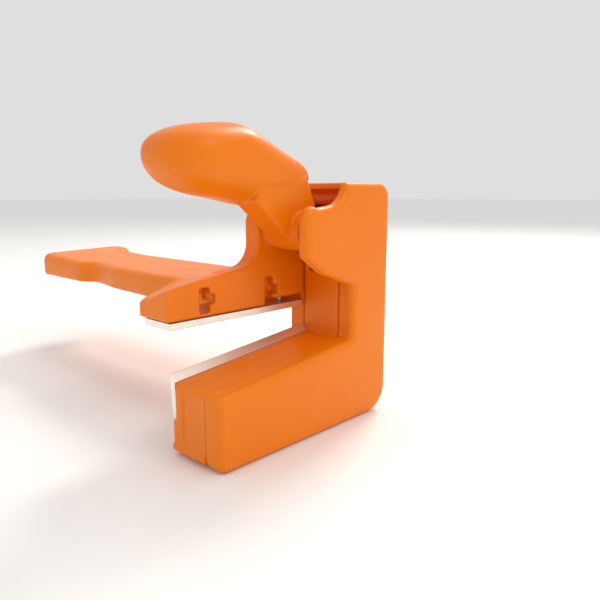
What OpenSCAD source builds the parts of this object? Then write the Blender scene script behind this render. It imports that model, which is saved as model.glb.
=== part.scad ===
// Hand-held end trimmer for edge banding, a small lever guillotine.
// A flat paddle lies on the narrow top edge of a panel. Squeezing the lever slides the lower jaw up
// the guide of the base, and its blade shears the overhanging band against the fixed upper blade.
//
// Frame: X = 0 is the shear plane and +X points to the overhanging band. Z = 0 is the seat of the
// paddle, +Z up. Y runs along the blades, and the mouth opens towards -Y. The jaws are shown open.

/* [Paddle] */
// Thickness of the paddle
paddle_t = 9; // [8:0.5:9.5]
// Reach of the paddle along the panel, from the shear plane to its far corner
paddle_reach = 157; // [153:1:160]
// Back edge of the paddle
paddle_back = 34.5; // [33:0.5:38]

/* [Blades] */
// Thickness of both blades
blade_t = 2; // [1.6:0.1:2.2]
// How far the upper blade stands out towards the open end of the mouth
blade_front = 31; // [29:0.5:31.5]
// Depth of the mouth behind the reference corner
mouth_back = 24; // [23:0.5:24]
// Opening between the blades at the deep end of the mouth
mouth_gap = 7.4; // [6.5:0.1:8]
// Slope of the moving blade's edge, low at the open end
blade_slope = 6.3; // [5.5:0.1:6.6]

/* [Jaw] */
// Width of the jaw, from the shear plane outwards
jaw_w = 22.8; // [22:0.1:23.5]
// Wall of the two casing shells
wall = 2.2; // [2:0.1:2.4]
// Stroke of the jaw
stroke = 12.8; // [11:0.1:12.8]

/* [Lever] */
// Distance from the pivot to the drive pin
drive_arm = 23.3; // [23:0.1:23.5]
// Angle of the drive arm below the horizontal with the jaws open
drive_angle = 15.95; // [15.5:0.05:16]
// Radius of the pivot pin
pivot_r = 3; // [2.5:0.1:3.2]

/* [Fits] */
// Side clearance between the jaw and its guide
slide_gap = 0.3; // [0.2:0.05:0.35]

/* [Hidden] */
$fn = 48;

orange = [0.94, 0.46, 0.10];
dark_orange = [0.86, 0.36, 0.06];
bright_steel = [0.80, 0.80, 0.76];
dull_steel = [0.50, 0.51, 0.52];

head_start = -112;
head_rise = 2;

// guide of the base, a plate just inside the shear plane
guide_x0 = -7;
guide_x1 = -slide_gap;
guide_back = 38.8;
guide_top = 32.2;
guide_bottom = -14;
pivot = [11, 27];
boss_r = 7.4;
block_front = 27.3;
block_x1 = 9;
block_top = 8;

// arm above the mouth
arm_x0 = -15.2;
arm_front = -31.5;
arm_under = blade_t + 0.2;
screw_y = [-25, -1, 19];

// jaw
jaw_x0 = 0.45;
jaw_back = 43.4;
jaw_top = 42.2;
jaw_floor = -36.8;
jaw_front = -31.9;
jaw_side_x = -9.5;
split_x = 15.8;
skin_x = jaw_w - wall;
rim_x = 19.4;
arm_top_front = -14.7;
arm_top_back = -8.7;
recess_y = mouth_back + 0.2;
recess_z = 9.1;
blade_x0 = 0.15;
blade_x1 = blade_x0 + blade_t;
blade_seat_z = -26;
blade_fix_y = [-20, 1, 18];
blade_fix_z = -21.3;
case_fix = [[-24, -30.6], [-1, -30.6], [22, -30.6]];
top_fix = [35.5, 37.4];

// lever and its drive pin
lever_x0 = 3;
lever_x1 = 13;
boss_x1 = 16;
bush_r = pivot_r + 1.2;
drive = pivot + drive_arm * [cos(drive_angle), -sin(drive_angle)];
drive_drift = drive_arm * (1 - cos(drive_angle));
drive_r = 2.5;
slot_r = drive_r + 0.2;

// return spring
spring_x = 1;
spring_y = 33.2;
spring_r = 2.9;
spring_wire_r = 0.45;
spring_z0 = -31.5;
spring_z1 = 4;

function arc(c, r, a0, a1, n = 6) = [for (i = [0:n]) let (a = a0 + (a1 - a0) * i / n) c + r * [cos(a), sin(a)]];

// a profile drawn in Y and Z, extruded from x0 to x1
module along_x(x0, x1) translate([x0, 0, 0]) rotate([90, 0, 90]) linear_extrude(x1 - x0) children();
module rod_x(p, r, x0, x1) translate([x0, p[0], p[1]]) rotate([0, 90, 0]) cylinder(h = x1 - x0, r = r);
module cone_x(p, r0, r1, x0, x1)
    translate([x0, p[0], p[1]]) rotate([0, 90, 0]) cylinder(h = x1 - x0, r1 = r0, r2 = r1);
module block(a, b) translate(a) cube(b - a);

// ---------- base ----------

// ridge of the arm, the post with the pivot boss, and the guide plate behind the mouth
module rail_profile() polygon(concat(
    [[arm_front, arm_under]],
    arc([arm_front + 3, 8.6], 3, 180, 100),
    [[-20, 13.4], [-8.6, 14.9]],
    arc([pivot[0] - boss_r - 7, 23], 7, -85, 0),
    arc(pivot, boss_r, 180, 45, 12),
    [[guide_back, guide_top], [guide_back, guide_bottom], [mouth_back + 0.5, guide_bottom],
     [mouth_back + 0.5, arm_under]]));

// low half of the arm, on the paddle's side of the ridge
module nose_profile() polygon(concat(
    [[arm_front - 2.5, arm_under]],
    arc([arm_front, 5.6], 2.5, 180, 100),
    [[-25, 9.2], [-20, 11.4], [-12, 12.4], [10, 12.4], [10, arm_under]]));

module paddle_outline() polygon(concat(
    [[guide_x0 + 1, -4.8], [guide_x0 + 1, 26.4], [-10.4, 26.4]],
    arc([-14.4, paddle_back - 4], 4, 0, 90, 4),
    arc([-134, paddle_back + 9], 9, 270, 235, 4),
    arc([-148, 36], 6.5, 60, 90, 2),
    arc([6 - paddle_reach, 36], 6, 95, 185),
    arc([-143, 1], 5.5, 190, 270),
    arc([-112, 1.5], 6, 270, 300, 3),
    arc([-100, -6], 6, 110, 80, 3),
    [[-88, -2.4], [-57, -4.8]]));

// the tongue is flat, and its head rises a little towards the end
module paddle() difference() {
    linear_extrude(paddle_t + 2) paddle_outline();
    block([head_start, -20, paddle_t], [0, 60, paddle_t + 5]);
    translate([head_start, 0, paddle_t]) rotate([0, head_rise, 0]) block([-80, -20, 0], [0, 60, 8]);
}

module window(y, z_top) {
    block([guide_x1 - 4, y, arm_under - 1], [1, y + 4, z_top]);
    block([guide_x1 - 4, y + 2, 5.6], [1, y + 6, 8.8]);
}

module base_frame() color(orange) difference() {
    union() {
        along_x(guide_x0, guide_x1) rail_profile();
        along_x(arm_x0, guide_x0 + 1) nose_profile();
        paddle();
        block([guide_x0, block_front, guide_bottom], [block_x1, guide_back, block_top]);
    }
    block([arm_x0 - 1, arm_front - 5, -1], [1, mouth_back + 0.5, arm_under - 0.15]);
    window(-20, 11);
    window(6.6, 11.6);
    // a pocket cored from the far side, which breaks through into the first window
    block([arm_x0 - 1, -21.5, 3.2], [guide_x1 - 2, -3, 8.6]);
    block([guide_x1 - 3, -20, 5.8], [0, -17.6, 8.6]);
    rod_x(pivot, pivot_r, -20, 5);
    translate([spring_x, spring_y, guide_bottom - 1])
        cylinder(h = spring_z1 - guide_bottom + 1, r = spring_r + 0.9);
    for (y = screw_y) translate([-7, y, 0]) cylinder(h = 9.5, r = 1.5);
}

module fixed_blade() color(bright_steel) difference() {
    block([-13, -blade_front, 0], [0, mouth_back, blade_t]);
    for (y = screw_y) translate([-7, y, -0.01]) cylinder(h = blade_t + 0.02, r1 = 3, r2 = 1.6);
}

module fixed_blade_screws() color(dull_steel) for (y = screw_y) translate([-7, y, 0]) {
    cylinder(h = 1.6, r1 = 2.8, r2 = 1.35);
    cylinder(h = 9, r = 1.35);
}

module pivot_pin() color(dull_steel) difference() {
    union() {
        rod_x(pivot, pivot_r - 0.05, guide_x0 - 0.5, rim_x - 0.5);
        rod_x(pivot, 4.8, guide_x0 - 1.8, guide_x0);
    }
    difference() {
        rod_x(pivot, pivot_r + 1, boss_x1 + 0.25, boss_x1 + 1.05);
        rod_x(pivot, pivot_r - 0.6, boss_x1, boss_x1 + 2);
    }
}

module pivot_spacer() color("ivory") difference() {
    rod_x(pivot, 5.6, guide_x1, lever_x0 - 0.15);
    rod_x(pivot, pivot_r, guide_x1 - 1, lever_x0 + 1);
}

module pivot_clip() color(dull_steel) difference() {
    rod_x(pivot, 4.9, boss_x1 + 0.3, boss_x1 + 1);
    rod_x(pivot, pivot_r - 0.55, boss_x1, boss_x1 + 2);
    block([boss_x1, pivot[0] - 1.6, pivot[1] - 8], [boss_x1 + 2, pivot[0] + 1.6, pivot[1]]);
}

module stop_bumper() color([0.12, 0.12, 0.12])
    block([guide_x0 + 1, 32, guide_top + 0.1], [guide_x1 - 1, 38.4, guide_top + 1.9]);

// ---------- jaw ----------

// height of the lower arm's top face at y, which runs beside the blade's edge
function arm_top(y) = arm_top_back + (y - recess_y) * (arm_top_back - arm_top_front) / (recess_y - jaw_front);

// side view of the lower arm, drawn i inside its outer face
module arm_profile(i) polygon(concat(
    arc([jaw_front + 3, jaw_floor + 3], 3 - i, 180, 270),
    [[block_front + 2, jaw_floor + i], [block_front + 2, arm_top(block_front + 2) - i]],
    arc([jaw_front + 2.6, arm_top(jaw_front + 2.6) - 2.6], 2.6 - i, 90, 180)));

// side view of the upright part that wraps the guide
module back_profile() polygon(concat(
    [[block_front, jaw_floor]],
    arc([jaw_back - 9, jaw_floor + 9], 9, 275, 360),
    arc([jaw_back - 5, jaw_top - 5], 5, 0, 90),
    [[block_front, jaw_top]]));

// side view of the outer cover with its scoop and the cut-away for the band, drawn i inside
module cover_profile(i) polygon(concat(
    arc([jaw_front + 3, jaw_floor + 3], 3 - i, 180, 270),
    [[block_front, jaw_floor + i]],
    arc([jaw_back - 9, jaw_floor + 9], 9 - i, 275, 360),
    arc([jaw_back - 5, jaw_top - 5], 5 - i, 0, 90),
    arc([12.4, 43], 8 + i, -asin((43 - jaw_top + i) / (8 + i)), -82),
    arc([5.6, 31], 4 - i, 60, 180),
    [[1.6 + i, 20 + i], [9.7 + i / 2, 14.4 + i], [recess_y + i, recess_z + i],
     [recess_y + i, arm_top_back - i]],
    arc([jaw_front + 2.6, arm_top(jaw_front + 2.6) - 2.6], 2.6 - i, 90, 180)));

module slot(x0, x1) {
    for (y = [drive[0] + 0.1, drive[0] + drive_drift - 0.1]) rod_x([y, drive[1]], slot_r, x0, x1);
    block([x0, drive[0] + 0.1, drive[1] - slot_r], [x1, drive[0] + drive_drift - 0.1, drive[1] + slot_r]);
}

module mouth_end_wall() difference() {
    translate([0, 0, arm_top_back - 2]) linear_extrude(28)
        polygon([[jaw_x0, recess_y + 0.2], [skin_x + 0.6, recess_y + 0.2], [skin_x + 0.6, recess_y + wall + 0.3],
            [jaw_x0, recess_y + wall + 0.3]]);
    // room for the drive arm as the jaw rises
    block([lever_x0 - 0.6, 20, 12.6], [rim_x, 35, 20]);
}

module inner_shell() color(orange) difference() {
    union() {
        difference() {
            union() {
                along_x(jaw_x0, split_x) arm_profile(0);
                along_x(jaw_side_x, split_x) back_profile();
            }
            along_x(jaw_x0 + 4, split_x + 1) arm_profile(wall);
            // channel for the guide
            block([guide_x0 - slide_gap, block_front - 1, guide_bottom - stroke - 0.5],
                  [split_x + 1, guide_back + slide_gap, jaw_top - wall]);
            block([guide_x0 - slide_gap, block_front + wall, jaw_floor + 4],
                  [split_x + 1, guide_back - 2, guide_bottom - stroke]);
            // seat of the moving blade
            block([-1, jaw_front - 1, blade_seat_z - 0.1], [blade_x1 + 0.05, mouth_back + 0.4, 0]);
        }
        difference() {
            mouth_end_wall();
            block([split_x - 0.05, 0, -60], [jaw_w + 1, 60, 60]);
        }
        // cheek with the slot for the drive pin
        difference() {
            block([0.1, drive[0] - 5.5, drive[1] - 6], [lever_x0 - 0.4, guide_back + 1, drive[1] + 6]);
            slot(-1, lever_x0);
        }
        for (p = case_fix) rod_x(p, 3.1, jaw_x0 + 3, split_x);
        rod_x(top_fix, 3, jaw_side_x + 1, split_x);
        for (y = blade_fix_y) rod_x([y, blade_fix_z], 3.6, jaw_x0 + 3, jaw_x0 + 5.5);
    }
    for (p = case_fix) {
        rod_x(p, 1.4, -1, split_x + 1);
        rod_x(p, 2.9, -1, jaw_x0 + 2);
    }
    rod_x(top_fix, 1.4, -20, split_x + 1);
    rod_x(top_fix, 2.9, -20, jaw_side_x + 2);
    for (y = blade_fix_y) rod_x([y, blade_fix_z], 1.6, 0, jaw_x0 + 6);
    // groove of the wear strip
    block([guide_x0 + 1, guide_back, -20], [guide_x1 - 1, guide_back + 1.5, 30]);
}

module outer_cover() color(orange) difference() {
    union() {
        difference() {
            along_x(split_x + 0.05, jaw_w) cover_profile(0);
            along_x(split_x - 1, skin_x) cover_profile(wall);
            // the front rim is shallow, to clear the lever
            block([split_x - 1, -5, arm_top_back + 1], [rim_x, block_front - 0.1, 60]);
        }
        difference() {
            mouth_end_wall();
            block([-1, 0, -60], [split_x + 0.05, 60, 60]);
        }
        difference() {
            block([lever_x1 + 0.4, drive[0] - 5.5, drive[1] - 6], [skin_x + 0.7, guide_back - 0.5, drive[1] + 6]);
            slot(lever_x1, skin_x - 1.5);
        }
        for (p = case_fix) rod_x(p, 3.1, split_x + 0.05, skin_x + 0.5);
        rod_x(top_fix, 2.5, split_x + 0.05, skin_x + 0.5);
        // ribs that steady the guide block
        block([split_x + 0.05, 29, jaw_floor + 1.8], [skin_x + 0.5, 30.8, 6]);
    }
    for (p = concat(case_fix, [top_fix])) rod_x(p, 1.35, split_x - 1, skin_x - 0.5);
}

module case_screws() color(dull_steel) {
    for (p = case_fix) {
        rod_x(p, 2.7, jaw_x0 + 0.4, jaw_x0 + 2);
        rod_x(p, 1.3, jaw_x0 + 1, skin_x - 1);
    }
    rod_x(top_fix, 2.7, jaw_side_x + 0.4, jaw_side_x + 2);
    rod_x(top_fix, 1.3, jaw_side_x + 1, skin_x - 1);
}

module moving_blade() color(bright_steel) difference() {
    intersection() {
        along_x(blade_x0, blade_x1) polygon([
            [-blade_front - 0.7, 0], [mouth_back, 0], [mouth_back, blade_seat_z],
            [jaw_front + 0.8, blade_seat_z], [-blade_front - 0.4, -24], [-blade_front - 0.7, -16]]);
        // the edge is ground to 45 degrees on the outer side
        translate([blade_x0, 14.8, -mouth_gap]) rotate([blade_slope, 0, 0]) translate([0, 80, 0])
            rotate([90, 0, 0]) linear_extrude(160)
                polygon([[0, 0], [blade_t + 1, -blade_t - 1], [blade_t + 1, -45], [-1, -45], [-1, 1]]);
    }
    for (y = blade_fix_y) cone_x([y, blade_fix_z], 3, 1.6, blade_x0 - 0.01, blade_x1 + 0.01);
}

module moving_blade_screws() color(dull_steel) for (y = blade_fix_y) {
    cone_x([y, blade_fix_z], 2.8, 1.4, blade_x0, blade_x0 + 1.6);
    rod_x([y, blade_fix_z], 1.4, blade_x0, 11.5);
}

module moving_blade_nuts() color(dull_steel) for (y = blade_fix_y) difference() {
    translate([jaw_x0 + 7.1, y, blade_fix_z]) rotate([0, 90, 0]) cylinder(h = 2.4, r = 3.1, $fn = 6);
    rod_x([y, blade_fix_z], 1.45, 0, 20);
}

// flat bar under the nuts that stiffens the jaw
module blade_backing_bar() color(dull_steel) difference() {
    block([jaw_x0 + 5.55, jaw_front + 4, blade_fix_z - 3], [jaw_x0 + 7, mouth_back - 1, blade_fix_z + 3]);
    for (y = blade_fix_y) rod_x([y, blade_fix_z], 1.6, 0, 20);
}

module guide_strip() color("ivory")
    block([guide_x0 + 1.1, guide_back + 0.15, -19.9], [guide_x1 - 1.1, guide_back + 1.5, 29.9]);

module spring_rod() color(dull_steel) translate([spring_x, spring_y, 0]) {
    translate([0, 0, jaw_floor + 4]) cylinder(h = -10 - jaw_floor - 4, r = 1.6);
}

module spring_cup() color("ivory") translate([spring_x, spring_y, jaw_floor + 4]) difference() {
    cylinder(h = 1.3, r = 3.4);
    translate([0, 0, -1]) cylinder(h = 4, r = 1.7);
}

// helical wire with flat ends, swept as one closed tube
spring_turns = 9;
spring_steps = 24;
function spring_ring(i) =
    let (t = i / (spring_turns * spring_steps), a = 360 * spring_turns * t,
         z = spring_z0 + spring_wire_r + t * (spring_z1 - spring_z0 - 2 * spring_wire_r - 0.1))
    [for (k = [0:7]) let (b = 45 * k, r = spring_r + spring_wire_r * cos(b))
        [r * cos(a), r * sin(a), z + spring_wire_r * sin(b)]];

module return_spring() color(dull_steel) translate([spring_x, spring_y, 0]) {
    n = spring_turns * spring_steps;
    polyhedron(
        points = [for (i = [0:n]) each spring_ring(i)],
        faces = concat(
            [[for (k = [0:7]) k]],
            [for (i = [0:n - 1], k = [0:7]) let (a = 8 * i + k, b = 8 * i + (k + 1) % 8) [a, a + 8, b + 8, b]],
            [[for (k = [7:-1:0]) 8 * n + k]]));
}

// ---------- lever ----------

module handle_side() polygon([
    [-3.5, 34.9], [-13.2, 36.8], [-21, 38.2], [-27, 40], [-31, 42.4], [-34, 45.6], [-35.2, 49.2], [-34, 53],
    [-31, 55.4], [-25.5, 57.4], [-16.8, 58.9], [-9, 59.1], [-3, 56.8], [1.8, 54.2], [13.9, 48.3], [17.6, 44.6],
    [18.3, 42.3], [12, 40.4], [6.5, 36.5], [2, 35.6]]);

module handle_plan() polygon([
    [13, 19], [-3, 19], [-7, 10], [-11, -2], [-13, -12], [-13, -23], [-11, -29.5], [-6.5, -34], [-1, -35.6],
    [5, -34.8], [10.5, -30.5], [13.6, -24], [14.4, -12], [14, 0]]);

module lever_web() {
    n = 3.8 * [sin(drive_angle), cos(drive_angle)];
    along_x(lever_x0, lever_x1) {
        polygon([pivot - n, drive - n, drive + n, pivot + n]);
        polygon([[-9, 36.2], [-6, 42], [13, 44], [17.2, 34.4], [16.8, 29], [10, 21.4], [8, 22]]);
    }
    rod_x(pivot, 6.2, lever_x0, boss_x1);
    rod_x(drive, 4, lever_x0, lever_x1);
}

module handle_lever() color(orange) difference() {
    union() {
        intersection() {
            along_x(-20, 20) handle_side();
            translate([0, 0, 20]) linear_extrude(60) handle_plan();
        }
        lever_web();
    }
    rod_x(pivot, bush_r, 0, 20);
    rod_x(drive, drive_r, 0, 20);
}

module lever_bush() color("goldenrod") difference() {
    rod_x(pivot, bush_r, lever_x0, boss_x1);
    rod_x(pivot, pivot_r + 0.02, 0, 20);
}

module drive_pin() color(dull_steel) difference() {
    rod_x(drive, drive_r, 0.3, skin_x - 2.2);
    for (x = [lever_x0 - 0.35, lever_x1 + 0.05]) difference() {
        rod_x(drive, drive_r + 1, x, x + 0.3);
        rod_x(drive, drive_r - 0.4, x - 1, x + 1);
    }
}

module drive_pin_clips() color(dull_steel) for (x = [lever_x0 - 0.3, lever_x1 + 0.08]) difference() {
    rod_x(drive, 3.9, x, x + 0.24);
    rod_x(drive, drive_r - 0.38, x - 1, x + 1);
    block([x - 1, drive[0] - 1.2, drive[1] - 6], [x + 1, drive[0] + 1.2, drive[1]]);
}

base_frame();
fixed_blade();
fixed_blade_screws();
pivot_pin();
pivot_spacer();
pivot_clip();
stop_bumper();
inner_shell();
outer_cover();
case_screws();
moving_blade();
moving_blade_screws();
moving_blade_nuts();
blade_backing_bar();
guide_strip();
spring_rod();
return_spring();
spring_cup();
handle_lever();
lever_bush();
drive_pin();
drive_pin_clips();
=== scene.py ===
import math

import bpy
from mathutils import Matrix, Vector


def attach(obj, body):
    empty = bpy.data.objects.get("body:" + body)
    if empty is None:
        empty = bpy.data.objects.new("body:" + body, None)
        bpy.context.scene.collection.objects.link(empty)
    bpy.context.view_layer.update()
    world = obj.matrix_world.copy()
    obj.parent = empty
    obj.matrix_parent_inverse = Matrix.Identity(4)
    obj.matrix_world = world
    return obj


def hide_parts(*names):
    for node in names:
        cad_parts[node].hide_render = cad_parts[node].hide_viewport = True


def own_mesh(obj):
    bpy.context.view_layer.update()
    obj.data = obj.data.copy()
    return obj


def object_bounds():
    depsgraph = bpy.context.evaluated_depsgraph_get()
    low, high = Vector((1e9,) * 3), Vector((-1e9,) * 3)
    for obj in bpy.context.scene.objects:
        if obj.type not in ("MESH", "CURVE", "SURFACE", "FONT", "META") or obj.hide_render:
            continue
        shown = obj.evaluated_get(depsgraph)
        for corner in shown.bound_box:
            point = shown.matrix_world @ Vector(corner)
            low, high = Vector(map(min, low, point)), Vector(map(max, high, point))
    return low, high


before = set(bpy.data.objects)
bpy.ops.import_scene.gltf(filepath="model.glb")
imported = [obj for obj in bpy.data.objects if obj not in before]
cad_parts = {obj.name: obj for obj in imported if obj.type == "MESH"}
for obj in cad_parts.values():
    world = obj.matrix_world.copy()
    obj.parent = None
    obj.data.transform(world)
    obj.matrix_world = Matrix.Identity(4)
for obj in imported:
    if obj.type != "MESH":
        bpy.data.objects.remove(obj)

cad_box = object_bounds()

# ---- Table, light and eye ----
# The tool stands on a plain pale table under four soft boxes. The eye is about 190 mm away, a little
# above the blades, and looks at the open end of the mouth from the band's side.
MM = 0.001
table_z = cad_box[0][2]


def srgb(code):
    """A sRGB hex colour as linear red, green, blue and alpha."""
    parts = [int(code[i:i + 2], 16) / 255 for i in (0, 2, 4)]
    return [c / 12.92 if c <= 0.04045 else ((c + 0.055) / 1.055) ** 2.4 for c in parts] + [1.0]


def add(material, kind, settings=None, inputs=None):
    """Adds one shader node, sets its options, and sets or links its inputs."""
    node = material.node_tree.nodes.new("ShaderNode" + kind)
    for name, value in (settings or {}).items():
        setattr(node, name, value)
    for name, value in (inputs or {}).items():
        if isinstance(value, bpy.types.NodeSocket):
            material.node_tree.links.new(value, node.inputs[name])
        else:
            node.inputs[name].default_value = value
    return node


def new_material(name):
    material = bpy.data.materials.new(name)
    material.use_nodes = True
    material.node_tree.nodes.clear()
    return material


# table top: matt white laminate
laminate = new_material("matt_white_laminate")
laminate_place = add(laminate, "TexCoord")
laminate_cloud = add(laminate, "TexNoise", None, {
    "Vector": laminate_place.outputs["Object"], "Scale": 3.0, "Detail": 3.0})
laminate_shade = add(laminate, "MapRange", None, {
    "Value": laminate_cloud.outputs["Fac"], "To Min": 0.52, "To Max": 0.60})
laminate_shader = add(laminate, "BsdfPrincipled", None, {
    "Base Color": srgb("F4F4F2"), "Roughness": laminate_shade.outputs["Result"]})
add(laminate, "OutputMaterial", None, {"Surface": laminate_shader.outputs["BSDF"]})

table_mesh = bpy.data.meshes.new("table")
table_half = 6.0
table_mesh.from_pydata(
    [(x * table_half, y * table_half, table_z) for x, y in ((-1, -1), (1, -1), (1, 1), (-1, 1))],
    [], [(0, 1, 2, 3)])
table_mesh.materials.append(laminate)
table = bpy.data.objects.new("table", table_mesh)
bpy.context.scene.collection.objects.link(table)

world = bpy.data.worlds.new("studio")
bpy.context.scene.world = world
world.use_nodes = True
world.node_tree.nodes["Background"].inputs["Color"].default_value = srgb("FFFFFF")
world.node_tree.nodes["Background"].inputs["Strength"].default_value = 0.74

work_centre = Vector((0.0, 0.010, 0.010))


def soft_box(name, place, size, power, colour):
    light = bpy.data.lights.new(name, "AREA")
    light.shape = "RECTANGLE"
    light.size, light.size_y = size
    light.energy = power
    light.color = srgb(colour)[:3]
    lamp = bpy.data.objects.new(name, light)
    lamp.location = place
    lamp.rotation_euler = (work_centre - Vector(place)).to_track_quat("-Z", "Y").to_euler()
    bpy.context.scene.collection.objects.link(lamp)


soft_box("key_box", (0.62, 0.10, 0.62), (0.34, 0.34), 1.5, "FFF6EA")
soft_box("top_box", (-0.10, 0.25, 0.95), (0.70, 0.50), 1.3, "FFFFFF")
soft_box("fill_box", (-0.30, -0.80, 0.30), (0.60, 0.45), 0.3, "F4F8FF")
soft_box("rim_box", (-0.20, 0.72, 0.72), (0.24, 0.24), 4.5, "FFFDF6")

eye = bpy.data.cameras.new("eye")
eye.sensor_width = 36.0
eye.lens = 35.16
eye.clip_start = 0.01
camera = bpy.data.objects.new("eye", eye)
camera.location = Vector((138.9, -123.6, 39.0)) * MM
camera.rotation_euler = (math.radians(90 - 10.4), 0, math.radians(43.5))
bpy.context.scene.collection.objects.link(camera)
bpy.context.scene.camera = camera
bpy.context.scene.view_settings.view_transform = "Standard"

# ---- Base: paddle, upper arm and post in one moulding ----
# Injection-moulded orange nylon: a flat paddle that lies on the panel, an arm that holds the upper
# blade, and a post with the lever's pivot boss, which runs back into a plate that guides the jaw.
# All sizes below are in millimetres, in the frame of the CAD model.


def arc(centre, radius, start, end, steps=10):
    angles = [math.radians(start + (end - start) * k / steps) for k in range(steps + 1)]
    return [(centre[0] + radius * math.cos(a), centre[1] + radius * math.sin(a)) for a in angles]


def outline(corners, steps=8):
    """A closed outline through corners (a, b, radius), each corner turned to an arc."""
    points = []
    for i, (a, b, radius) in enumerate(corners):
        here = Vector((a, b))
        back = Vector(corners[i - 1][:2]) - here
        ahead = Vector(corners[(i + 1) % len(corners)][:2]) - here
        half = back.angle(ahead) / 2
        if radius == 0 or half > 1.56:
            points.append((a, b))
            continue
        reach = min(radius / math.tan(half), 0.48 * back.length, 0.48 * ahead.length)
        radius = reach * math.tan(half)
        back.normalize()
        ahead.normalize()
        centre = here + (back + ahead).normalized() * radius / math.sin(half)
        first = here + back * reach - centre
        turn = first.angle_signed(here + ahead * reach - centre)
        for k in range(steps + 1):
            spoke = first.copy()
            spoke.rotate(Matrix.Rotation(-turn * k / steps, 2))
            points.append(tuple(centre + spoke))
    return points


def inset(shape, depth):
    """The same outline moved inwards, point by point. The outline runs anticlockwise."""
    moved = []
    for i, point in enumerate(shape):
        here = Vector(point)
        one = (here - Vector(shape[i - 1]))
        two = (Vector(shape[(i + 1) % len(shape)]) - here)
        one = Vector((-one.y, one.x)).normalized()
        two = Vector((-two.y, two.x)).normalized()
        step = (one + two) / max(0.35, 1 + one.dot(two))
        moved.append(tuple(here + step * depth))
    return moved


def place(axis, point, height):
    a, b = point
    return {"x": (height, a, b), "y": (b, height, a), "z": (a, b, height)}[axis]


def loft(rings):
    """A closed skin through rings of equal length, capped at both ends."""
    n = len(rings[0])
    faces = [tuple(range(n - 1, -1, -1)), tuple(range(n * (len(rings) - 1), n * len(rings)))]
    for k in range(len(rings) - 1):
        for i in range(n):
            j = (i + 1) % n
            faces.append((k * n + i, k * n + j, (k + 1) * n + j, (k + 1) * n + i))
    return [p for ring in rings for p in ring], faces


def slab(shape, axis, low, high, soft_low=0.0, soft_high=0.0, steps=4):
    """A solid with this outline across the axis, from low to high, its two rims rounded."""
    levels = []
    for k in range(steps + 1 if soft_low else 1):
        t = math.pi / 2 * k / steps
        levels.append((low + soft_low * (1 - math.cos(t)), soft_low * (1 - math.sin(t))))
    for k in range(steps + 1 if soft_high else 1):
        t = math.pi / 2 * (1 - k / steps) if soft_high else 0
        levels.append((high - soft_high * (1 - math.cos(t)), soft_high * (1 - math.sin(t))))
    return loft([[place(axis, p, at) for p in inset(shape, depth)] for at, depth in levels])


def box(low, high):
    shape = [(low[1], low[2]), (high[1], low[2]), (high[1], high[2]), (low[1], high[2])]
    return slab(shape, "x", low[0], high[0])


def rod(axis, centre, radius, low, high, sides=40):
    return slab(arc(centre, radius, 0, 360 - 360 / sides, sides - 1), axis, low, high)


def new_piece(name, solids):
    """One object from a list of closed skins, in millimetres."""
    points, faces = [], []
    for skin_points, skin_faces in solids:
        faces += [tuple(i + len(points) for i in f) for f in skin_faces]
        points += [tuple(c * MM for c in p) for p in skin_points]
    mesh = bpy.data.meshes.new(name)
    mesh.from_pydata(points, [], faces)
    mesh.update()
    piece = bpy.data.objects.new(name, mesh)
    bpy.context.scene.collection.objects.link(piece)
    return piece


def settle(piece):
    """Turns the modifiers of a piece into its mesh."""
    scene_graph = bpy.context.evaluated_depsgraph_get()
    mesh = bpy.data.meshes.new_from_object(piece.evaluated_get(scene_graph))
    piece.modifiers.clear()
    piece.data = mesh


def merge(piece, solids, operation):
    """Adds closed skins to a piece (UNION) or takes them out of it (DIFFERENCE)."""
    tool = new_piece(piece.name + "_tool", solids)
    step = piece.modifiers.new("step", "BOOLEAN")
    step.object = tool
    step.operation = operation
    step.solver = "EXACT"
    step.use_self = True
    settle(piece)
    bpy.data.objects.remove(tool)


def moulding(name, solids, hollow, inner, cuts, voxel=0.45, soften=5):
    """One moulded piece: solids, hollowed out, with inner walls added and then holes cut.

    It is then rebuilt on a fine even grid, and every edge is softened as a mould leaves it.
    """
    piece = new_piece(name, solids)
    for skins, operation in ((hollow, "DIFFERENCE"), (inner, "UNION"), (cuts, "DIFFERENCE")):
        if skins:
            merge(piece, skins, operation)
    fuse = piece.modifiers.new("fuse", "REMESH")
    fuse.mode = "VOXEL"
    fuse.voxel_size = voxel * MM
    relax = piece.modifiers.new("relax", "SMOOTH")
    relax.factor = 0.5
    relax.iterations = soften
    settle(piece)
    for polygon in piece.data.polygons:
        polygon.use_smooth = True
    return piece


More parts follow.
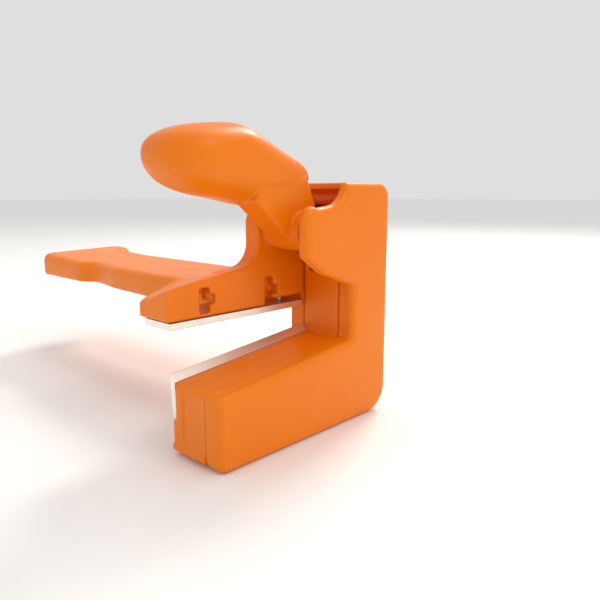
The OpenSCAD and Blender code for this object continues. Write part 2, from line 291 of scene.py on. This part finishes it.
# orange moulded nylon: satin gloss, a faint moulded grain, slow sink marks, handling scuffs
def nylon(name, colour, deep):
    material = new_material(name)
    where = add(material, "TexCoord").outputs["Object"]
    # clouds about 25 mm across, where the colour runs a little deeper
    cloud = add(material, "TexNoise", None, {"Vector": where, "Scale": 1 / 0.025, "Detail": 3.0})
    tint = add(material, "MapRange", None, {
        "Value": cloud.outputs["Fac"], "From Min": 0.3, "From Max": 0.7, "To Min": 0.0, "To Max": 0.35})
    body = add(material, "MixRGB", {"blend_type": "MIX"}, {
        "Fac": tint.outputs["Result"], "Color1": srgb(colour), "Color2": srgb(deep)})
    # edges rubbed paler by handling
    wear = add(material, "NewGeometry")
    rub = add(material, "MapRange", None, {
        "Value": wear.outputs["Pointiness"], "From Min": 0.53, "From Max": 0.62, "To Max": 0.30})
    scratch = add(material, "TexNoise", None, {"Vector": where, "Scale": 1 / 0.004, "Detail": 6.0})
    patch = add(material, "Math", {"operation": "MULTIPLY"}, {
        0: rub.outputs["Result"], 1: scratch.outputs["Fac"]})
    colour_out = add(material, "MixRGB", {"blend_type": "MIX"}, {
        "Fac": patch.outputs["Value"], "Color1": body.outputs["Color"], "Color2": srgb("F7B27A")})
    # spark-eroded grain of the mould, 0.35 mm from peak to peak
    grain = add(material, "TexNoise", None, {"Vector": where, "Scale": 1 / 0.00035, "Detail": 2.0})
    # slow sink marks about 9 mm long
    sink = add(material, "TexNoise", None, {"Vector": where, "Scale": 1 / 0.009, "Detail": 1.0})
    low_bump = add(material, "Bump", None, {
        "Strength": 0.35, "Distance": 0.00035, "Height": sink.outputs["Fac"]})
    high_bump = add(material, "Bump", None, {
        "Strength": 0.10, "Distance": 0.00005, "Height": grain.outputs["Fac"],
        "Normal": low_bump.outputs["Normal"]})
    gloss = add(material, "MapRange", None, {
        "Value": scratch.outputs["Fac"], "From Min": 0.3, "From Max": 0.7, "To Min": 0.30, "To Max": 0.44})
    shader = add(material, "BsdfPrincipled", None, {
        "Base Color": colour_out.outputs["Color"], "Roughness": gloss.outputs["Result"],
        "IOR": 1.50, "Specular IOR Level": 0.3, "Subsurface Weight": 0.05, "Subsurface Scale": 0.002,
        "Subsurface Radius": (1.0, 0.35, 0.08), "Normal": high_bump.outputs["Normal"]})
    add(material, "OutputMaterial", None, {"Surface": shader.outputs["BSDF"]})
    return material


moulded_nylon = nylon("orange_moulded_nylon", "F07E00", "EA7000")


def dress(piece, body, node, material):
    """The piece moves with a body, stands for a CAD node and takes this material."""
    piece.data.materials.clear()
    piece.data.materials.append(material)
    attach(piece, body)
    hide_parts(node)


pivot = (11.0, 27.0)
seat_height = 9.0
head_start = -112.0
head_rise = math.tan(math.radians(2.0))

tongue = slab(outline([
    (-6, -4.7, 0), (-6, 26.4, 0), (-10.4, 26.4, 0), (-10.4, 34.4, 4), (-118, 34.4, 0), (-118, -4.3, 0),
    (-109.5, -4.3, 6), (-102, -0.1, 7), (-82, -3.4, 25), (-57, -4.7, 0)]), "z", 0, seat_height, 0.7, 3.4, 6)
head_points, head_faces = slab(outline([
    (-106, 4, 0), (-106, 33, 0), (-112, 34.4, 0), (-136, 34.4, 10), (-144, 42.2, 7), (-156.8, 42.2, 6.5),
    (-148.4, -4.3, 6), (-112, -4.3, 0)]), "z", 0, seat_height, 0.7, 3.4, 6)
head = ([(x, y, z * (1 + (head_start - x) * head_rise / seat_height)) for x, y, z in head_points],
        head_faces)


def read_off(pairs, at):
    """Straight-line reading between (place, value) pairs."""
    for (a, u), (b, v) in zip(pairs, pairs[1:]):
        if at <= b:
            return u + (v - u) * max(0, at - a) / (b - a)
    return pairs[-1][1]


# the arm is lofted front to back: its back edge is a high ridge, and its outer side slopes down
ridge_height = [(-34, 10.6), (-31, 11.6), (-28, 12.2), (-20, 13.4), (-8.6, 14.9), (-2, 15.9), (8, 16.5)]
nose_height = [(-34, 6.4), (-31, 7.4), (-28, 8.6), (-25, 9.4), (-20, 11.4), (-17, 12.6), (8, 13)]
arm_under = 2.15
arm_rings = []
for k in range(24):
    y = -31.5 + 38 * (k / 23) ** 1.3
    ring = [(-15.1, y, arm_under), (-0.3, y, arm_under)]
    high, low = read_off(ridge_height, y), read_off(nose_height, y)
    for i in range(11):
        x = -0.3 - 14.8 * i / 10
        t = 1 - i / 10
        top = low + (high - low) * t * t * (3 - 2 * t)
        top -= 2.2 * max(0, 1 - (y + 33.5) / 4) ** 2
        ring.append((x, y, top))
    arm_rings.append(list(reversed(ring)))
arm = loft(arm_rings)

post = slab(outline([
    (-10, 4, 0), (25, 4, 0), (25, -14, 0), (38.7, -14, 1.2), (38.7, 32.1, 1.2), (18.2, 32.1, 3),
    (14.5, 34.4, 4), (3.6, 34.4, 6.8), (3.6, 16.3, 7.5), (-10, 14.7, 0)]), "x", -6.95, -0.3, 0.8, 0.8)
spring_block = slab(outline([
    (27.4, -14, 0.8), (38.7, -14, 0.8), (38.7, 7.9, 0.8), (27.4, 7.9, 0.8)]), "x", -6.95, 8.95, 0.6, 0.6)


def window(front, top):
    """A cross-shaped core pocket in the outer side of the arm."""
    return [box((-4.3, front, 3), (1, front + 4, top)), box((-4.4, front + 2, 5.6), (1, front + 6, 8.8))]


screw_row = (-25, -1, 19)
dress(moulding("base_moulding", [tongue], [], [head, arm, post, spring_block], [
    *window(-20, 11), *window(6.6, 11.6), box((-20, -21.5, 3.2), (-2.3, -3, 8.6)),
    box((-3.3, -20, 5.8), (0, -17.6, 8.6)),
    rod("x", pivot, 3.0, -12, 4), rod("z", (1, 33.2), 4.1, -16, 4.6),
    *[rod("z", (-7, y), 1.5, -1, 9.5) for y in screw_row],
], 0.5), "base", "base_frame", moulded_nylon)

# ---- Blades ----
# Two flat bars of hardened tool steel, surface ground all over. The upper one has a square edge.
# The lower one slopes like a guillotine's, and its outer corner is ground off at 45 degrees.


def metal(name, colour, smooth, rough, lines, depth, edge):
    """Bare or plated metal: fine lines along one direction, stains, rubbed edges."""
    material = new_material(name)
    where = add(material, "TexCoord").outputs["Object"]
    stretch = add(material, "Mapping", {"vector_type": "POINT"}, {"Vector": where, "Scale": lines})
    line = add(material, "TexNoise", None, {
        "Vector": stretch.outputs["Vector"], "Scale": 1.0, "Detail": 5.0})
    # stains about 6 mm across
    stain = add(material, "TexNoise", None, {"Vector": where, "Scale": 1 / 0.006, "Detail": 4.0})
    tone = add(material, "MapRange", None, {
        "Value": stain.outputs["Fac"], "From Min": 0.35, "From Max": 0.75, "To Min": 0.0, "To Max": 0.12})
    body = add(material, "MixRGB", {"blend_type": "MULTIPLY"}, {
        "Fac": tone.outputs["Result"], "Color1": srgb(colour), "Color2": srgb("B9AE9C")})
    # the lines count for 70% of the unevenness in gloss, and the stains for 30%
    line_share = add(material, "Math", {"operation": "MULTIPLY_ADD"}, {
        0: line.outputs["Fac"], 1: 0.7, 2: 0.0})
    uneven = add(material, "Math", {"operation": "MULTIPLY_ADD"}, {
        0: stain.outputs["Fac"], 1: 0.3, 2: line_share.outputs["Value"]})
    gloss = add(material, "MapRange", None, {
        "Value": uneven.outputs["Value"], "From Min": 0.35, "From Max": 0.65,
        "To Min": smooth, "To Max": rough})
    corner = add(material, "Bevel", {"samples": 6}, {"Radius": edge * MM})
    ground = add(material, "Bump", None, {
        "Strength": 0.3, "Distance": depth * MM, "Height": line.outputs["Fac"],
        "Normal": corner.outputs["Normal"]})
    shader = add(material, "BsdfPrincipled", None, {
        "Base Color": body.outputs["Color"], "Metallic": 0.92, "Roughness": gloss.outputs["Result"],
        "Normal": ground.outputs["Normal"]})
    add(material, "OutputMaterial", None, {"Surface": shader.outputs["BSDF"]})
    return material


def finish_node(node, material):
    """Gives a CAD node its material and keeps its shape."""
    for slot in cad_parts[node].material_slots:
        slot.material = material


# grinding lines run along the blades, 0.12 mm apart
ground_steel = metal(
    "ground_tool_steel", "F6F4EA", 0.28, 0.42, (1 / 0.00012, 1 / 0.009, 1 / 0.00012), 0.01, 0.15)
finish_node("fixed_blade", ground_steel)
finish_node("moving_blade", ground_steel)

# ---- Screws, nuts and backing bar ----
# Countersunk screws hold both blades, and pan-head screws hold the casing halves. All are of
# zinc-plated steel with a cross recess. The lower blade's screws run through a bar into hex nuts.
zinc_steel = metal(
    "zinc_plated_steel", "C3C7CB", 0.24, 0.42, (1 / 0.0006, 1 / 0.0006, 1 / 0.0006), 0.02, 0.12)


def turned(axis, centre, stations, sides=32):
    """A turned solid: circles of (height, radius) along the axis."""
    step = 360 - 360 / sides
    return loft([[place(axis, p, at) for p in arc(centre, radius, 0, step, sides - 1)]
                 for at, radius in stations])


def cross(axis, centre, face, depth, reach=1.5, half=0.32):
    """The two slots of a cross recess, cut depth deep from the face of a head."""
    a, b = centre
    slots = []
    for da, db in ((reach, half), (half, reach)):
        shape = [(a - da, b - db), (a + da, b - db), (a + da, b + db), (a - da, b + db)]
        slots.append(slab(shape, axis, face - 1, face + depth))
    return slots


def screws(name, body, node, shanks, slots):
    piece = new_piece(name, shanks)
    merge(piece, slots, "DIFFERENCE")
    dress(piece, body, node, zinc_steel)


screws("upper_blade_screws", "base", "fixed_blade_screws",
       [turned("z", (-7, y), [(0.02, 2.5), (0.15, 2.72), (1.6, 1.35), (8.7, 1.35), (8.98, 0.9)])
        for y in screw_row],
       [s for y in screw_row for s in cross("z", (-7, y), 0.02, 1.0)])
lower_row = [(-20, -21.3), (1, -21.3), (18, -21.3)]
screws("lower_blade_screws", "jaw", "moving_blade_screws",
       [turned("x", p, [(0.17, 2.5), (0.3, 2.68), (1.75, 1.4), (11.2, 1.4), (11.48, 1.0)])
        for p in lower_row],
       [s for p in lower_row for s in cross("x", p, 0.17, 1.0)])
case_row = [(-24, -30.6), (-1, -30.6), (22, -30.6)]
top_screw = (35.5, 37.4)
thread_end = [(19.2, 1.3), (19.58, 0.8)]
screws("casing_screws", "jaw", "case_screws",
       [turned("x", p, [(0.87, 1.7), (0.98, 2.35), (1.3, 2.68), (2.43, 2.68), (2.44, 1.3), *thread_end])
        for p in case_row]
       + [turned("x", top_screw, [(-9.08, 1.7), (-8.97, 2.35), (-8.6, 2.68), (-7.52, 2.68), (-7.51, 1.3),
                                  *thread_end])],
       [s for p in case_row for s in cross("x", p, 0.87, 1.0)] + cross("x", top_screw, -9.08, 1.0))
finish_node("moving_blade_nuts", zinc_steel)
finish_node("blade_backing_bar", zinc_steel)

# ---- Inner casing half ----
# Injection-moulded orange nylon: a hollow arm that carries the lower blade, a shell that slides on
# the base's guide plate, the wall behind the mouth, and the cheek with the drive pin's inner slot.
wall = 2.2
jaw_back, jaw_top, jaw_floor, jaw_front = 43.35, 42.15, -36.75, -31.9
recess_y, recess_z, arm_top_back = 24.2, 9.1, -8.7
split_x, rim_x, skin_x, cover_x = 15.8, 19.4, 20.6, 22.8
block_front = 27.3
# inner walls and posts stop just short of the parting, and reach into the outer skin
inner_high, outer_low, into_skin = split_x - 0.15, split_x + 0.15, skin_x + 0.4


def arm_top(y):
    return arm_top_back + (y - recess_y) * 6.0 / (recess_y - jaw_front)


def arm_outline(i):
    return (arc((jaw_front + 3, jaw_floor + 3), 3 - i, 180, 270)
            + [(block_front + 2, jaw_floor + i), (block_front + 2, arm_top(block_front + 2) - i)]
            + arc((jaw_front + 2.6, arm_top(jaw_front + 2.6) - 2.6), 2.6 - i, 90, 180))


back_outline = ([(block_front, jaw_floor)] + arc((jaw_back - 9, jaw_floor + 9), 9, 275, 360)
                + arc((jaw_back - 5, jaw_top - 5), 5, 0, 90) + [(block_front, jaw_top)])
slot_ends = [(33.5, 20.6), (34.2, 20.6)]


def pin_slot(low, high):
    (a, b), (c, d) = slot_ends
    return [rod("x", p, 2.7, low, high) for p in slot_ends] + [box((low, a, b - 2.7), (high, c, d + 2.7))]


dress(moulding("inner_casing", [
    slab(arm_outline(0), "x", 0.45, 6.2, 0.9, 0.4),
    slab(arm_outline(0.3), "x", 5.6, split_x - 0.04, 0, 0.3),
    slab(back_outline, "x", -9.45, split_x - 0.04, 2.2, 0.2),
], [
    slab(arm_outline(wall), "x", 4.45, 17), box((-7.3, 26.3, -27.3), (17, 39.1, 40)),
    box((-7.3, 29.5, -32.8), (17, 36.8, -26)), box((-1, -31.8, -26.1), (2.2, 24.4, 0)),
    # the front end has a shallow flat panel with a lip along its foot
    box((5.4, -32.6, -31.9), (15.2, -31.4, -16.8)),
], [
    box((0.45, recess_y + 0.2, -10.7), (inner_high, recess_y + wall + 0.3, 17.3)),
    rod("x", (-30.9, -34.2), 1.5, 0.6, split_x - 0.3),
    box((0.1, 27.9, 14.6), (2.6, 39.8, 26.6)),
    *[rod("x", p, 3.1, 3.45, inner_high) for p in case_row],
    rod("x", top_screw, 3.0, -8.5, inner_high),
    *[rod("x", p, 3.6, 3.45, 5.95) for p in lower_row],
], [
    box((2.4, 20, 12.6), (rim_x, 35, 20)), *pin_slot(-1, 3),
    *[rod("x", p, 1.4, -1, 17) for p in case_row], *[rod("x", p, 2.85, -1, 2.45) for p in case_row],
    rod("x", top_screw, 1.4, -20, 17), rod("x", top_screw, 2.85, -20, -7.5),
    *[rod("x", p, 1.6, 0, 6.5) for p in lower_row], box((-6, 38.8, -20), (-1.3, 40.3, 30)),
]), "jaw", "inner_shell", moulded_nylon)

# ---- Outer casing half ----
# The second moulding of the jaw, screwed to the first from behind. Its edge is rolled over all
# round, it is cut away in front of the mouth for the band, and its top is scooped for the thumb.


def cover_outline(i):
    return (arc((jaw_front + 3, jaw_floor + 3), 3 - i, 180, 270) + [(block_front, jaw_floor + i)]
            + arc((jaw_back - 9, jaw_floor + 9), 9 - i, 275, 360)
            + arc((jaw_back - 5, jaw_top - 5), 5 - i, 0, 90)
            + arc((12.4, 43), 8 + i, -math.degrees(math.asin((43 - jaw_top + i) / (8 + i))), -82)
            + arc((5.6, 31), 4 - i, 60, 180)
            + [(1.6 + i, 20 + i), (9.7 + i / 2, 14.4 + i), (recess_y + i, recess_z + i),
               (recess_y + i, arm_top_back - i)]
            + arc((jaw_front + 2.6, arm_top(jaw_front + 2.6) - 2.6), 2.6 - i, 90, 180))


dress(moulding("outer_casing", [
    slab(cover_outline(0), "x", split_x + 0.1, cover_x - 0.05, 0.2, 2.2, 6),
], [
    slab(cover_outline(wall), "x", 14, skin_x), box((14, -5, -7.7), (rim_x, 27.2, 60)),
], [
    box((outer_low, recess_y + 0.2, -10.7), (into_skin, recess_y + wall + 0.3, 17.3)),
    box((13.4, 27.9, 14.6), (into_skin, 38.3, 26.6)),
    *[rod("x", p, 3.1, outer_low, into_skin) for p in case_row],
    rod("x", top_screw, 2.5, outer_low, into_skin),
    box((outer_low, 29, jaw_floor + 2), (into_skin, 30.8, 6)),
], [
    box((2.4, 20, 12.6), (rim_x, 35, 20)), *pin_slot(13, 19.1),
    *[rod("x", p, 1.35, 14, 20.1) for p in [*case_row, top_screw]],
]), "jaw", "outer_cover", moulded_nylon)

# ---- Lever ----
# One moulding of the same nylon: a spoon for the palm, a web down to the pivot, and a short arm
# back to the drive pin. The spoon is lofted along its length and swells in the middle.
spoon_under = [(-35.2, 48.9), (-34, 45.7), (-31, 42.5), (-27, 40.1), (-21, 38.3), (-13.2, 36.9),
               (-3.5, 35.0), (2, 35.7), (6.5, 36.6), (12, 40.5), (18.2, 42.4)]
spoon_over = [(-35.2, 49.5), (-34, 52.9), (-31, 55.3), (-25.5, 57.3), (-16.8, 58.55), (-9, 58.75),
              (-3, 56.6),
              (1.8, 54.1), (13.9, 48.2), (17.6, 44.5), (18.2, 43.2)]
spoon_left = [(-35.2, -2.2), (-34, -6.4), (-29.5, -10.9), (-23, -12.9), (-12, -12.9), (-2, -10.9),
              (10, -6.9),
              (18.2, -3.2)]
spoon_right = [(-35.2, 1.2), (-34.8, 4.8), (-30.5, 10.4), (-24, 13.4), (-12, 14.2), (0, 13.8), (8, 12.9),
               (14, 11.4), (18.2, 8.5)]


def curve(pairs, at):
    """Smooth reading between (place, value) pairs."""
    last = len(pairs) - 1
    k = max(0, min(last - 1, sum(place <= at for place, value in pairs) - 1))
    (a, u), (b, v) = pairs[k], pairs[k + 1]
    before, after = pairs[max(0, k - 1)], pairs[min(last, k + 2)]
    span = b - a
    lean_a = (v - before[1]) / (b - before[0]) * span
    lean_b = (after[1] - u) / (after[0] - a) * span
    t = (at - a) / span
    return (u * (1 + 2 * t) * (1 - t) ** 2 + lean_a * t * (1 - t) ** 2
            + v * t * t * (3 - 2 * t) + lean_b * t * t * (t - 1))


spoon_rings = []
for k in range(40):
    t = k / 39
    y = -35.1 + 53.2 * t ** 1.5
    low, high = curve(spoon_under, y), curve(spoon_over, y)
    left, right = curve(spoon_left, y), curve(spoon_right, y)
    ring = []
    for j in range(48):
        a = 2 * math.pi * j / 48
        up, out = math.cos(a), math.sin(a)
        ring.append(((left + right) / 2 + (right - left) / 2 * math.copysign(abs(out) ** 0.78, out), y,
                     (low + high) / 2 + (high - low) / 2 * math.copysign(abs(up) ** 0.78, up)))
    spoon_rings.append(ring)
drive_pin = (33.4, 20.6)
lever_low, lever_high, boss_high = 3.05, 12.95, 15.95
dress(moulding("lever_moulding", [loft(spoon_rings)], [], [
    slab([(12.04, 30.65), (9.96, 23.35), (32.36, 16.95), (34.44, 24.25)], "x", lever_low, lever_high, 0.6, 0.6),
    slab(outline([(16.8, 29, 0), (17.2, 34.4, 1), (13, 44, 0), (-6, 42, 0), (-9, 36.2, 1), (8, 22, 2),
                  (10, 21.4, 1)]), "x", lever_low, lever_high, 0.6, 1.4),
    slab(arc(pivot, 6.15, 0, 352.5, 47), "x", lever_low, boss_high, 0.6, 0.6),
    slab(arc(drive_pin, 4.0, 0, 352.5, 47), "x", lever_low, lever_high, 0.6, 0.6),
], [
    rod("x", pivot, 4.2, 0, 20), rod("x", drive_pin, 2.5, 0, 20),
], 0.45, 6), "lever", "handle_lever", moulded_nylon)

# ---- Pins, clips and bush ----
# The lever turns on a headed steel pin held by a clip, in a pressed bronze bush. A second pin runs
# through its arm into the two slots of the casing, and a clip each side keeps it there.
for node in ("pivot_pin", "drive_pin"):
    finish_node(node, zinc_steel)
spring_steel = metal(
    "oiled_spring_steel", "8C8F93", 0.28, 0.46, (1 / 0.0004, 1 / 0.0004, 1 / 0.0004), 0.01, 0.1)
for node in ("pivot_clip", "drive_pin_clips", "spring_rod"):
    finish_node(node, spring_steel)
# turning marks run round the bush, 0.2 mm apart
finish_node("lever_bush", metal(
    "sintered_bronze", "C79A5B", 0.34, 0.55, (1 / 0.0002, 1 / 0.004, 1 / 0.004), 0.02, 0.15))

# ---- Return spring ----
# Cold-wound from round wire, with a closed coil at each end. It stands between the floor of the
# casing and the roof of a pocket in the base. The real one shortens as the jaw rises; this one keeps one length
# and moves with the jaw.
spring_centre = (1.0, 33.2)
spring_low, spring_high = -31.5, 4.0
coil_radius, wire_radius, turns, steps_per_turn = 2.9, 0.45, 9, 28
closed_turns = 0.6
wire_rings = []
for k in range(turns * steps_per_turn + 1):
    wound = k / steps_per_turn
    angle = 2 * math.pi * wound
    lift = min(1, max(0, (wound - closed_turns) / (turns - 2 * closed_turns)))
    z = spring_low + wire_radius + lift * (spring_high - spring_low - 2 * wire_radius - 0.1)
    ring = []
    for j in range(10):
        b = 2 * math.pi * j / 10
        radius = coil_radius + wire_radius * math.cos(b)
        ring.append((spring_centre[0] + radius * math.cos(angle),
                     spring_centre[1] + radius * math.sin(angle),
                     z - wire_radius * math.sin(b)))
    wire_rings.append(ring)
spring = new_piece("return_spring_wire", [loft(wire_rings)])
for polygon in spring.data.polygons:
    polygon.use_smooth = True
dress(spring, "jaw", "return_spring", spring_steel)
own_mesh(spring)

# ---- Spacer, wear strip, spring cup and stop ----
# Small wearing pieces: a moulded spacer beside the lever, acetal where the jaw slides and the spring
# sits, and a black rubber strip on top of the guide plate, which the returning jaw knocks against.


def polymer(name, colour, other, smooth, rough, grain, depth):
    """Matt plastic or rubber: a cloudy tint, a fine grain and uneven gloss."""
    material = new_material(name)
    where = add(material, "TexCoord").outputs["Object"]
    # clouds 5 mm across
    cloud = add(material, "TexNoise", None, {"Vector": where, "Scale": 1 / 0.005, "Detail": 4.0})
    body = add(material, "MixRGB", {"blend_type": "MIX"}, {
        "Fac": cloud.outputs["Fac"], "Color1": srgb(colour), "Color2": srgb(other)})
    gloss = add(material, "MapRange", None, {
        "Value": cloud.outputs["Fac"], "From Min": 0.3, "From Max": 0.7, "To Min": smooth, "To Max": rough})
    speck = add(material, "TexNoise", None, {"Vector": where, "Scale": 1 / grain, "Detail": 3.0})
    corner = add(material, "Bevel", {"samples": 6}, {"Radius": 0.15 * MM})
    pitted = add(material, "Bump", None, {
        "Strength": 0.3, "Distance": depth * MM, "Height": speck.outputs["Fac"],
        "Normal": corner.outputs["Normal"]})
    shader = add(material, "BsdfPrincipled", None, {
        "Base Color": body.outputs["Color"], "Roughness": gloss.outputs["Result"], "IOR": 1.48,
        "Normal": pitted.outputs["Normal"]})
    add(material, "OutputMaterial", None, {"Surface": shader.outputs["BSDF"]})
    return material


acetal = polymer("ivory_acetal", "ECE6D4", "E0D8C2", 0.32, 0.48, 0.0004, 0.02)
finish_node("pivot_spacer", moulded_nylon)
for node in ("guide_strip", "spring_cup"):
    finish_node(node, acetal)
finish_node("stop_bumper", polymer("black_rubber", "1B1B1C", "262526", 0.62, 0.82, 0.0003, 0.05))
